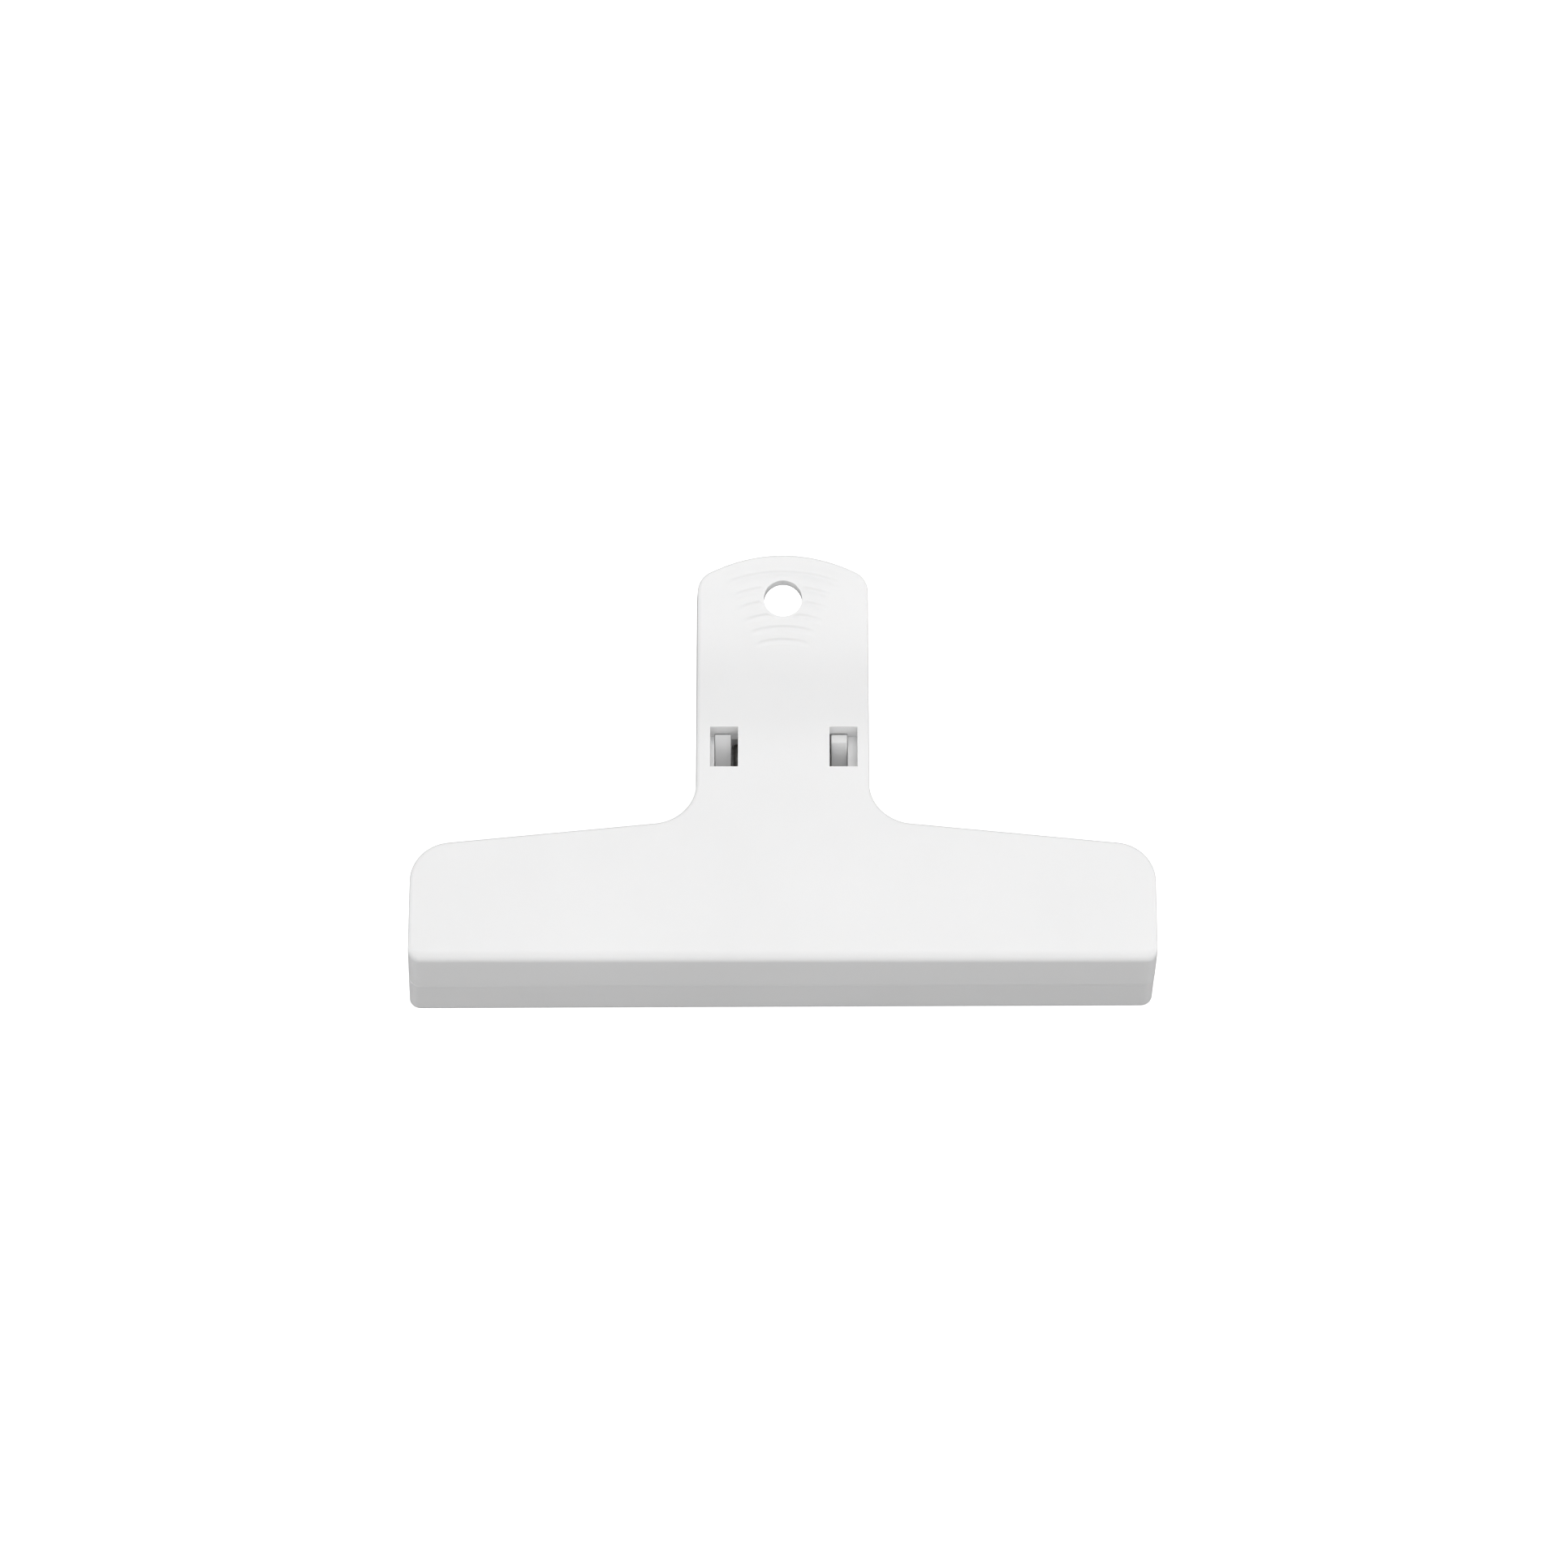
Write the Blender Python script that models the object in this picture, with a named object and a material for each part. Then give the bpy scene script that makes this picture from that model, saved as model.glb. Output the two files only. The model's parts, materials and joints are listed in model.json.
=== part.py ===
"""Spring bag clip: a wide T-shaped jaw clip squeezed open by its two handle tabs.

Built in a clip frame (x across, v from the lip to the handle end, w square to the closed
parting plane) whose v = 0 is the lip and whose w = 0 is the plane between the two halves.
Each mesh has its own zero on the hinge axis.  The root empty then lays the clip down on its
rear jaw face, with the middle of its footprint on the world origin.
"""
import bpy
import bmesh
import numpy as np
from math import acos, cos, pi, radians, sin, tan
from mathutils import Matrix, Vector

MM = 0.001

# Plan of one half, all in millimetres
HALF_WIDTH = 50.95
LENGTH = 62.2
HANDLE_HALF = 11.9
SHOULDER_END_V = 17.1
SHOULDER_ANGLE = radians(5.9)
LIP_CORNER_R = 1.6
SHOULDER_R = 5.75
NECK_R = 6.2
HANDLE_CORNER_R = 3.0
CROWN_R = 23.5
CROWN_SLOPE = radians(23.8)
LEAST_R = 0.25

# Section of one half
SHELL_DEPTH = 7.1
PARTING_GAP = 0.15
PLATE = 2.0
WALL = 2.1
EDGE_R = 1.4
END_WALL_SCALE = 0.32
WALL_TAPER_END_V = 51.0

# Run of the outer surface: slope at each v, straight-line between them
JAW_SLOPE = tan(radians(5.0))
SADDLE_SLOPE = -0.06
END_SLOPE = 0.387
BEND_START_V = 30.5
SADDLE_START_V = 36.7
SADDLE_END_V = 44.0
SLOPES = ((0.0, JAW_SLOPE), (BEND_START_V, JAW_SLOPE), (SADDLE_START_V, SADDLE_SLOPE),
          (SADDLE_END_V, SADDLE_SLOPE), (LENGTH, END_SLOPE))
BEND_CUTS = 4
FLARE_CUTS = 8

# Hinge
HINGE_V = 32.3
PIN_R = 1.0
PIN_HALF = 11.5
LOBE_BORE_R = 1.04
EAR_BORE_R = 1.12
LOBE_R = 2.5
LOBE_IN = 9.1
LOBE_OUT = 11.6
LOBE_ROOT_HALF = 4.2
LOBE_SINK = 1.0
EAR_BACK_R = 8.0
EAR_BACK_START = radians(-12.0)
EAR_BACK_V = 2.85
EAR_TOP_W = 8.2
EAR_FACE_V_RIGHT = 1.2
EAR_FACE_V_LEFT = 2.5
EAR_BOSS_R = 3.4
EAR_BOSS_START = radians(75.0)
EAR_BOSS_END = radians(190.0)
EAR_IN = 6.83
EAR_OUT = 8.93
EAR_ROOT_HALF = 6.2
EAR_SINK = 1.1

# Openings through each plate
WINDOW_IN = 6.3
WINDOW_OUT = 9.95
WINDOW_V = (28.9, 35.35)
WINDOW_FLOOR_W = 7.6
HANG_R = 2.73
HANG_V = 55.9
CUT_TOP_W = 15.0
BORE_CUT_HALF = 20.0
HANG_CUT_W = 12.0
HANG_CUT_DEPTH = 30.0

# Torsion spring
WIRE_R = 0.6
WIRE_BEVEL_STEPS = 2
COIL_R = 2.6
COIL_PITCH = 1.4
COIL_EXTRA_TURNS = 8
COIL_STEP = radians(20.0)
LEG_ANGLE = radians(16.0)
LEG_END_V = 45.5
FOOT = 3.2
FOOT_LEAN = 0.3

# How finely curves are cut, and from what angle an edge is shown sharp
EDGE_STEPS = 3
CORNER_STEPS = 7
CROWN_STEPS = 12
LOBE_STEPS = 14
BOSS_STEPS = 12
ROUND_STEPS = 28
SHARP_ANGLE = radians(32.0)

# How the halves sit: the front half has side play, the rear one is a touch out of square
REST_TILT = radians(5.0)
SIDE_PLAY = 0.25
REAR_OFFSET = -0.05
REAR_SKEW = 0.005


def clear_scene():
    for obj in list(bpy.data.objects):
        bpy.data.objects.remove(obj, do_unlink=True)


def material(name, colour, roughness, metallic=0.0):
    mat = bpy.data.materials.new(name)
    mat.use_nodes = True
    shader = mat.node_tree.nodes["Principled BSDF"]
    shader.inputs["Base Color"].default_value = (*colour, 1.0)
    shader.inputs["Roughness"].default_value = roughness
    shader.inputs["Metallic"].default_value = metallic
    return mat


def surface_w(v):
    """Height of the outer surface over the parting plane, by adding up the slopes."""
    height = SHELL_DEPTH
    for (v0, s0), (v1, s1) in zip(SLOPES, SLOPES[1:]):
        if v <= v0:
            break
        reach = min(v, v1)
        slope = s0 + (s1 - s0) * (reach - v0) / (v1 - v0)
        height += (reach - v0) * (s0 + slope) / 2
    return height


def wall_scale(v):
    """The skirt keeps its depth along the jaw and gets shallow towards the handle end."""
    start = HINGE_V + LOBE_ROOT_HALF
    run = (v - start) / (WALL_TAPER_END_V - start)
    return 1.0 + (END_WALL_SCALE - 1.0) * max(0.0, min(1.0, run))


def plan_corners():
    """Sharp corners of the T, anticlockwise, each with the radius and steps that round it."""
    rise = (HALF_WIDTH - HANDLE_HALF) * tan(SHOULDER_ANGLE)
    crown_v = LENGTH - CROWN_R + CROWN_R / cos(CROWN_SLOPE)
    handle_v = crown_v - HANDLE_HALF * tan(CROWN_SLOPE)
    right = [
        (HALF_WIDTH, 0.0, LIP_CORNER_R, CORNER_STEPS),
        (HALF_WIDTH, SHOULDER_END_V, SHOULDER_R, CORNER_STEPS),
        (HANDLE_HALF, SHOULDER_END_V + rise, NECK_R, CORNER_STEPS),
        (HANDLE_HALF, handle_v, HANDLE_CORNER_R, CORNER_STEPS),
    ]
    left = [(-x, v, r, n) for x, v, r, n in reversed(right)]
    return right + [(0.0, crown_v, CROWN_R, CROWN_STEPS)] + left


def round_corner(before, corner, after, inset):
    """Arc that rounds one corner of the outline once it is moved inwards."""
    here = Vector(corner[:2])
    d0 = (here - Vector(before[:2])).normalized()
    d1 = (Vector(after[:2]) - here).normalized()
    n0 = Vector((-d0.y, d0.x))
    n1 = Vector((-d1.y, d1.x))
    here = here + (n0 + n1) * (inset / (1.0 + n0.dot(n1)))
    side = 1.0 if d0.cross(d1) > 0 else -1.0
    radius = max(corner[2] - side * inset, LEAST_R)
    turn = acos(max(-1.0, min(1.0, d0.dot(d1))))
    centre = here - d0 * (radius * tan(turn / 2)) + n0 * (side * radius)
    spoke = -n0 * (side * radius)
    points = []
    for k in range(corner[3] + 1):
        a = side * turn * k / corner[3]
        points.append((centre.x + spoke.x * cos(a) - spoke.y * sin(a),
                       centre.y + spoke.x * sin(a) + spoke.y * cos(a)))
    return points


def outline(inset):
    """Rounded T outline, moved inwards by inset; every inset gives the same point count."""
    corners = plan_corners()
    points = []
    for i, corner in enumerate(corners):
        points += round_corner(corners[i - 1], corner, corners[(i + 1) % len(corners)], inset)
    return points


def shell_rings():
    """Inset and height of each ring, from the inner ceiling down, round the rim and up."""
    rings = [(WALL, SHELL_DEPTH - PLATE), (WALL, PARTING_GAP), (0.0, PARTING_GAP)]
    for k in range(EDGE_STEPS + 1):
        a = pi / 2 * k / EDGE_STEPS
        rings.append((EDGE_R * (1 - cos(a)), SHELL_DEPTH - EDGE_R * (1 - sin(a))))
    return rings


def bend_stations():
    """Where the shell is cut across so that it can follow the bend and the flare."""
    bend = [BEND_START_V + (SADDLE_START_V - BEND_START_V) * k / BEND_CUTS
            for k in range(BEND_CUTS + 1)]
    flare = [SADDLE_END_V + (LENGTH - SADDLE_END_V) * k / FLARE_CUTS for k in range(FLARE_CUTS)]
    return bend + flare


def bend(bm):
    """Give the flat shell the run of the surface and the tapering skirt."""
    for v_cut in bend_stations():
        geom = bm.verts[:] + bm.edges[:] + bm.faces[:]
        bmesh.ops.bisect_plane(bm, geom=geom, plane_co=(0, v_cut, 0), plane_no=(0, 1, 0), dist=1e-5)
    ceiling = SHELL_DEPTH - PLATE
    for vert in bm.verts:
        v, w = vert.co.y, vert.co.z
        if w < ceiling:
            w = ceiling - (ceiling - w) * wall_scale(v)
        vert.co.z = w + surface_w(v) - SHELL_DEPTH


def shell_mesh(name):
    """One T-shaped shell, open towards the parting plane, its zero on the hinge axis."""
    bm = bmesh.new()
    loops = []
    for inset, height in shell_rings():
        loops.append([bm.verts.new((x, v, height)) for x, v in outline(inset)])
    count = len(loops[0])
    for low, high in zip(loops, loops[1:]):
        for i in range(count):
            j = (i + 1) % count
            bm.faces.new((low[i], low[j], high[j], high[i]))
    bm.faces.new(loops[-1])
    bm.faces.new(list(reversed(loops[0])))
    bm.normal_update()
    bmesh.ops.triangulate(bm, faces=[f for f in bm.faces if len(f.verts) > 4])
    bend(bm)
    bmesh.ops.recalc_face_normals(bm, faces=bm.faces)
    bmesh.ops.scale(bm, vec=(MM, MM, MM), verts=bm.verts)
    bmesh.ops.translate(bm, vec=(0, -HINGE_V * MM, 0), verts=bm.verts)
    return finish_mesh(bm, name)


def finish_mesh(bm, name):
    mesh = bpy.data.meshes.new(name)
    bm.to_mesh(mesh)
    bm.free()
    return mesh


def add_object(name, mesh, parent=None, mat=None):
    obj = bpy.data.objects.new(name, mesh)
    bpy.context.scene.collection.objects.link(obj)
    obj.parent = parent
    if mat:
        mesh.materials.append(mat)
    return obj


def prism(name, profile, x0, x1):
    """Solid with the given (v, w) outline from the hinge axis, between x0 and x1, all mm."""
    bm = bmesh.new()
    face = bm.faces.new([bm.verts.new((x0 * MM, v * MM, w * MM)) for v, w in profile])
    grown = bmesh.ops.extrude_face_region(bm, geom=[face])
    moved = [e for e in grown["geom"] if isinstance(e, bmesh.types.BMVert)]
    bmesh.ops.translate(bm, vec=((x1 - x0) * MM, 0, 0), verts=moved)
    bmesh.ops.recalc_face_normals(bm, faces=bm.faces)
    return finish_mesh(bm, name)


def arc(radius, start, end, steps=ROUND_STEPS):
    angles = [start + (end - start) * k / steps for k in range(steps + 1)]
    return [(radius * cos(a), radius * sin(a)) for a in angles]


def lobe_profile():
    """Hinge lobe of the front half: hangs from the plate and rounds under the pin."""
    root = SHELL_DEPTH + LOBE_SINK
    return [(LOBE_ROOT_HALF, root), (-LOBE_ROOT_HALF, root)] + arc(LOBE_R, pi, 2 * pi, LOBE_STEPS)


def ear_profile(face_v):
    """Hinge ear of the rear half: a wide root, a round back, a tall block whose front is at
    face_v and a round boss about the axis."""
    root = -(SHELL_DEPTH + EAR_SINK)
    back = arc(EAR_BACK_R, EAR_BACK_START, acos(EAR_BACK_V / EAR_BACK_R), BOSS_STEPS)
    block = [(EAR_BACK_V, EAR_TOP_W), (face_v, EAR_TOP_W)]
    boss = arc(EAR_BOSS_R, EAR_BOSS_START, EAR_BOSS_END, BOSS_STEPS)
    return [(-EAR_ROOT_HALF, root), (EAR_ROOT_HALF, root)] + back + block + boss


def cutter(name, mesh):
    obj = add_object(name, mesh)
    obj.hide_render = True
    obj.display_type = "WIRE"
    return obj


def apply_boolean(obj, name, mesh, operation):
    """Cut or join now, then drop the helper, so the object holds a plain mesh."""
    helper = cutter(name, mesh)
    mod = obj.modifiers.new("shape", "BOOLEAN")
    mod.operation = operation
    mod.solver = "EXACT"
    mod.object = helper
    bpy.context.view_layer.update()
    graph = bpy.context.evaluated_depsgraph_get()
    shaped = bpy.data.meshes.new_from_object(obj.evaluated_get(graph))
    obj.modifiers.clear()
    obj.data = shaped
    bpy.data.objects.remove(helper, do_unlink=True)


def cut_openings(half, side):
    """Both windows and the hang hole; side is +1 for the front half, -1 for the rear."""
    v0, v1 = WINDOW_V[0] - HINGE_V, WINDOW_V[1] - HINGE_V
    floor, top = side * WINDOW_FLOOR_W, side * CUT_TOP_W
    window = [(v0, floor), (v1, floor), (v1, top), (v0, top)]
    for x0, x1 in ((WINDOW_IN, WINDOW_OUT), (-WINDOW_OUT, -WINDOW_IN)):
        apply_boolean(half, "window", prism("window", window, x0, x1), "DIFFERENCE")
    bm = bmesh.new()
    bmesh.ops.create_cone(bm, cap_ends=True, segments=ROUND_STEPS, radius1=HANG_R * MM,
                          radius2=HANG_R * MM, depth=HANG_CUT_DEPTH * MM)
    place = (0, (HANG_V - HINGE_V) * MM, side * HANG_CUT_W * MM)
    bmesh.ops.translate(bm, vec=place, verts=bm.verts)
    apply_boolean(half, "hang_hole", finish_mesh(bm, "hang_hole"), "DIFFERENCE")


def cut_bore(half, radius):
    profile = arc(radius, 0, 2 * pi)[:-1]
    apply_boolean(half, "bore", prism("bore", profile, -BORE_CUT_HALF, BORE_CUT_HALF), "DIFFERENCE")


def shade(obj):
    obj.data.shade_smooth()
    obj.data.set_sharp_from_angle(angle=SHARP_ANGLE)


def front_half(root, mat):
    """Front shell with the two lobes that stand just outside the ears."""
    obj = add_object("front_half", shell_mesh("front_half"), None, mat)
    for x0, x1 in ((LOBE_IN, LOBE_OUT), (-LOBE_OUT, -LOBE_IN)):
        lobe = prism("lobe", lobe_profile(), x0 - SIDE_PLAY, x1 - SIDE_PLAY)
        apply_boolean(obj, "lobe", lobe, "UNION")
    cut_openings(obj, 1)
    cut_bore(obj, LOBE_BORE_R)
    shade(obj)
    obj.parent = root
    obj.location = (SIDE_PLAY / 2 * MM, 0, 0)
    return obj


def rear_half(root, mat):
    """Rear shell with the two ears, mirrored through the parting plane and slightly skewed."""
    mesh = shell_mesh("rear_half")
    mesh.transform(Matrix(((1, 0, 0, REAR_OFFSET * MM), (REAR_SKEW, 1, 0, 0),
                           (-REAR_SKEW * JAW_SLOPE, 0, -1, 0), (0, 0, 0, 1))))
    mesh.flip_normals()
    obj = add_object("rear_half", mesh, None, mat)
    right = prism("ear", ear_profile(EAR_FACE_V_RIGHT), EAR_IN, EAR_OUT)
    left = prism("ear", ear_profile(EAR_FACE_V_LEFT), -EAR_OUT, -EAR_IN)
    for ear in (right, left):
        apply_boolean(obj, "ear", ear, "UNION")
    cut_openings(obj, -1)
    cut_bore(obj, EAR_BORE_R)
    shade(obj)
    obj.parent = root
    obj.location = (-SIDE_PLAY / 2 * MM, 0, 0)
    return obj


def hinge_pin(root, mat):
    profile = arc(PIN_R, 0, 2 * pi)[:-1]
    obj = add_object("hinge_pin", prism("hinge_pin", profile, -PIN_HALF, PIN_HALF), root, mat)
    obj.location = (SIDE_PLAY / 2 * MM, 0, 0)
    shade(obj)
    return obj


def spring_path():
    """Centre line of the wire: rear foot and leg, the coil round the pin, front leg and foot."""
    tangent = pi / 2 + LEG_ANGLE
    turn = 2 * pi * COIL_EXTRA_TURNS + 2 * (pi - tangent)
    half = COIL_PITCH * turn / (2 * pi) / 2
    steps = int(round(turn / COIL_STEP))
    coil = []
    for k in range(steps + 1):
        a = 2 * pi - tangent - turn * k / steps
        coil.append((-half + 2 * half * k / steps, COIL_R * cos(a), COIL_R * sin(a)))
    tip_v = LEG_END_V - HINGE_V
    tip_w = coil[-1][2] + (tip_v - coil[-1][1]) * tan(LEG_ANGLE)
    front = [(half, tip_v, tip_w), (half - FOOT, tip_v + FOOT_LEAN, tip_w)]
    rear = [(-x, v, -w) for x, v, w in reversed(front)]
    return rear + coil + front


def torsion_spring(root, mat):
    curve = bpy.data.curves.new("torsion_spring", "CURVE")
    curve.dimensions = "3D"
    curve.bevel_depth = WIRE_R * MM
    curve.bevel_resolution = WIRE_BEVEL_STEPS
    curve.use_fill_caps = True
    path = spring_path()
    spline = curve.splines.new("POLY")
    spline.points.add(len(path) - 1)
    for point, (x, v, w) in zip(spline.points, path):
        point.co = (x * MM, v * MM, w * MM, 1.0)
    return add_object("torsion_spring", curve, root, mat)


def lay_down(root, objects):
    """Turn the clip onto its rear jaw face and put the middle of its footprint at the origin."""
    root.rotation_euler = (REST_TILT, 0, 0)
    bpy.context.view_layer.update()
    graph = bpy.context.evaluated_depsgraph_get()
    corners = []
    for obj in objects:
        shaped = obj.evaluated_get(graph)
        mesh = shaped.to_mesh()
        corners += [obj.matrix_world @ v.co for v in mesh.vertices]
        shaped.to_mesh_clear()
    spread = np.array(corners)
    low, high = spread.min(axis=0), spread.max(axis=0)
    root.location = (-(low[0] + high[0]) / 2, -(low[1] + high[1]) / 2, -low[2])
    bpy.context.view_layer.update()


def main():
    clear_scene()
    white = material("white_plastic", (0.86, 0.865, 0.86), 0.42)
    steel = material("zinc_plated_steel", (0.62, 0.62, 0.60), 0.30, 1.0)
    spring_steel = material("spring_steel", (0.48, 0.48, 0.47), 0.34, 1.0)
    root = bpy.data.objects.new("clip_frame", None)
    bpy.context.scene.collection.objects.link(root)
    parts = [front_half(root, white), rear_half(root, white),
             hinge_pin(root, steel), torsion_spring(root, spring_steel)]
    lay_down(root, parts)


main()
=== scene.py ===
"""Fine moulded shells, hinge pin, wire spring and studio for a spring bag clip.

Every shape is worked out in the clip's own axes, x across the jaw, v from the lip to the
handle end and w square to the closed parting plane, then laid down as the frame has it.
"""

import json
from functools import partial
from math import acos, atan2, cos, pi, radians, sin, tan

import bmesh
import bpy
from bpy.props import FloatProperty, FloatVectorProperty, IntProperty, PointerProperty
from mathutils import Matrix, Vector

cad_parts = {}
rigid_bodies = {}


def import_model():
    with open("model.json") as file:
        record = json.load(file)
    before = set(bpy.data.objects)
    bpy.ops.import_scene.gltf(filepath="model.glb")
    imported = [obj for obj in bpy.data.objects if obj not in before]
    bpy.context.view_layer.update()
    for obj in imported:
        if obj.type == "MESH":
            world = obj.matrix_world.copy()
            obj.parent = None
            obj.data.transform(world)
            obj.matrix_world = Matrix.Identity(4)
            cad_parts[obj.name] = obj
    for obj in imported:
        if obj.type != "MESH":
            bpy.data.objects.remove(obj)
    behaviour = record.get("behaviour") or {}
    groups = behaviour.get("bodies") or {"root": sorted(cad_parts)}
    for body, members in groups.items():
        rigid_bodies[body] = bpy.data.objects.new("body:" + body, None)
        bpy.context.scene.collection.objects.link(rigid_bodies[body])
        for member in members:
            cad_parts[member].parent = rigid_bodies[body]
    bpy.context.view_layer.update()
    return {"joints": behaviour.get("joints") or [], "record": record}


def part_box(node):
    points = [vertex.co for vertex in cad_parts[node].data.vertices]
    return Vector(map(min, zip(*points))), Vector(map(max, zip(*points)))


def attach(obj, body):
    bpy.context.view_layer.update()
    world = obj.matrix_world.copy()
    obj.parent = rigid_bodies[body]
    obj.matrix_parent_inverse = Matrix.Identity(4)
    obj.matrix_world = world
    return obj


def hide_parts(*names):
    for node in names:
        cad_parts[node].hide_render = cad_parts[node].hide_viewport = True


bl_info = {
    "name": "Spring Bag Clip",
    "version": (1, 0, 0),
    "blender": (4, 5, 0),
    "location": "View3D > Sidebar > Bag Clip",
    "description": "Moulded shells, hinge pin, wire spring and studio for a spring bag clip",
    "category": "Add Mesh",
}

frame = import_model()

MM = 0.001
HINGE = frame["joints"][0]
HINGE_POINT = Vector(HINGE["pos_m"])
MOUNTS = {mount["name"]: mount for mount in frame["record"]["mounts"]}
FACE_NORMAL = Vector(MOUNTS["front_jaw_face"]["axis"])
TILT = atan2(-FACE_NORMAL.y, FACE_NORMAL.z) / 2
FRONT_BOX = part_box("front_half")
REAR_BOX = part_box("rear_half")
PIN_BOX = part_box("hinge_pin")
FRONT_X = (FRONT_BOX[0].x + FRONT_BOX[1].x) / 2
REAR_X = (REAR_BOX[0].x + REAR_BOX[1].x) / 2
SPRING_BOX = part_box("torsion_spring")
SPRING_X = (SPRING_BOX[0].x + SPRING_BOX[1].x) / 2


def length(name, text, default, **more):
    """A size in metres."""
    return FloatProperty(name=name, description=text, default=default, unit="LENGTH",
                         precision=5, **more)


def number(name, text, default, **more):
    """A plain number."""
    return FloatProperty(name=name, description=text, default=default, **more)


def angle(name, text, default):
    """An angle in radians, shown in degrees."""
    return FloatProperty(name=name, description=text, default=default, subtype="ANGLE")


def colour(name, text, default):
    """A linear colour."""
    return FloatVectorProperty(name=name, description=text, default=default, subtype="COLOR",
                               size=3, min=0.0, max=1.0)


class ShellSettings(bpy.types.PropertyGroup):
    """Plan and section of one moulded half."""
    half_width: length("Half width", "Half the jaw's width",
                       (FRONT_BOX[1].x - FRONT_BOX[0].x) / 2)
    length: length("Length", "From the lip to the handle end", 62.35 * MM)
    handle_half: length("Handle half width", "Half the handle tab's width", 11.9 * MM)
    shoulder_v: length("Shoulder", "Where the jaw's side meets the shoulder", 17.1 * MM)
    shoulder_angle: angle("Shoulder angle", "Rise of the shoulder towards the neck", radians(5.9))
    lip_corner: length("Lip corner", "Plan radius at the lip's ends", 1.6 * MM)
    shoulder_corner: length("Shoulder corner", "Plan radius of the jaw's rear corners", 5.75 * MM)
    neck_radius: length("Neck radius", "Plan radius where the handle meets the jaw", 6.2 * MM)
    handle_corner: length("Handle corner", "Plan radius of the handle's corners", 3.0 * MM)
    crown_radius: length("Crown radius", "Radius of the handle's curved end", 23.5 * MM)
    crown_slope: angle("Crown slope", "Slope at which the curved end meets its corners",
                       radians(23.8))
    depth: length("Depth", "From the parting plane to the jaw face at the lip", 7.1 * MM)
    parting: length("Parting gap", "Half the gap between the closed lips", 0.01 * MM)
    plate: length("Plate", "Thickness of the jaw face and handle tab", 2.0 * MM)
    wall: length("Wall", "Thickness of the wall round the edge", 2.1 * MM)
    rear_edge: length("Rear edge radius", "Rounding of the rear half's outer edge", 1.0 * MM)
    rear_lip: length("Rear lip radius", "Rounding of the rear half's lip", 1.4 * MM)
    handle_gap: length("Handle gap", "Extra gap between the handle's rims", 0.14 * MM)
    edge_radius: length("Edge radius", "Rounding of the outer edge", 0.55 * MM)
    lip_radius: length("Lip radius", "Rounding of the outer edge along the lip", 1.35 * MM)
    rim_radius: length("Rim radius", "Rounding of the wall's free rim", 0.05 * MM)
    lip_draft: angle("Lip draft", "Lean of the lip's face for the mould", radians(2.0))
    draft_reach: length("Draft reach", "How far from the lip its draft runs", 2.0 * MM)
    inner_radius: length("Inner radius", "Fillet between wall and plate inside", 0.6 * MM)
    jaw_slope: angle("Jaw slope", "Slope of the jaw face to the parting plane", TILT)
    end_slope: number("End slope", "Rise over run at the handle end", 0.387)
    saddle_slope: number("Saddle slope", "Rise over run of the thumb saddle", -0.06)
    bend_start: length("Bend start", "Where the jaw face starts to bend", 30.5 * MM)
    saddle_start: length("Saddle start", "Where the thumb saddle starts", 36.7 * MM)
    saddle_end: length("Saddle end", "Where the handle starts to flare", 44.0 * MM)
    wall_taper_start: length("Wall taper start", "Where the wall starts to get shallow",
                             36.5 * MM)
    wall_taper_end: length("Wall taper end", "Where the wall stops getting shallow", 51.0 * MM)
    wall_taper: number("Wall taper", "Depth of the wall at the handle end, as a share", 0.32)
    rear_skew: number("Rear skew", "How far out of square the rear moulding is", 0.005)
    window_in: length("Window inside", "Inner side of the hinge windows", 6.31 * MM)
    window_shift: length("Window shift", "Shift of both windows to the right", 0.12 * MM)
    window_out: length("Window outside", "Outer side of the hinge windows", 10.15 * MM)
    window_low: length("Window start", "Jaw side of the hinge windows", 29.05 * MM)
    window_high: length("Window end", "Handle side of the hinge windows", 35.35 * MM)
    window_floor: length("Window floor", "Depth of the windows' side ledge", 2.3 * MM)
    window_edge: length("Window edge", "Rounding of the windows' and hole's edges", 0.12 * MM)
    hole_radius: length("Hang hole", "Radius of the hang hole", 2.66 * MM)
    hole_v: length("Hole place", "Middle of the hang hole", 56.15 * MM)
    stay_v: length("Stay place", "Distance of the handle's cross stay from the lip", 41.6 * MM)
    stay_thick: length("Stay thickness", "Thickness of the cross stay", 0.9 * MM)
    stay_low: length("Stay clearance", "From the parting plane to the cross stay", 3.2 * MM)


class GripSettings(bpy.types.PropertyGroup):
    """The crescent ribs round the hang hole."""
    count: IntProperty(name="Ribs", description="Number of crescent ribs", default=6, min=1)
    first: length("First rib", "Apex of the outermost rib", 59.6 * MM)
    pitch: length("Pitch", "Distance between the ribs' apexes", 1.98 * MM)
    outer_half: length("Outer half width", "Half width of the outermost rib", 8.2 * MM)
    inner_half: length("Inner half width", "Half width of the innermost rib", 3.9 * MM)
    outer_radius: length("Outer radius", "Radius of the outermost rib", 22.0 * MM)
    inner_radius: length("Inner radius", "Radius of the innermost rib", 11.0 * MM)
    width: length("Rib width", "Width of each rib", 0.95 * MM)
    height: length("Rib height", "Height of each rib", 0.2 * MM)
    fade: length("Fade", "Length over which a rib's end dies away", 1.8 * MM)


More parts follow.
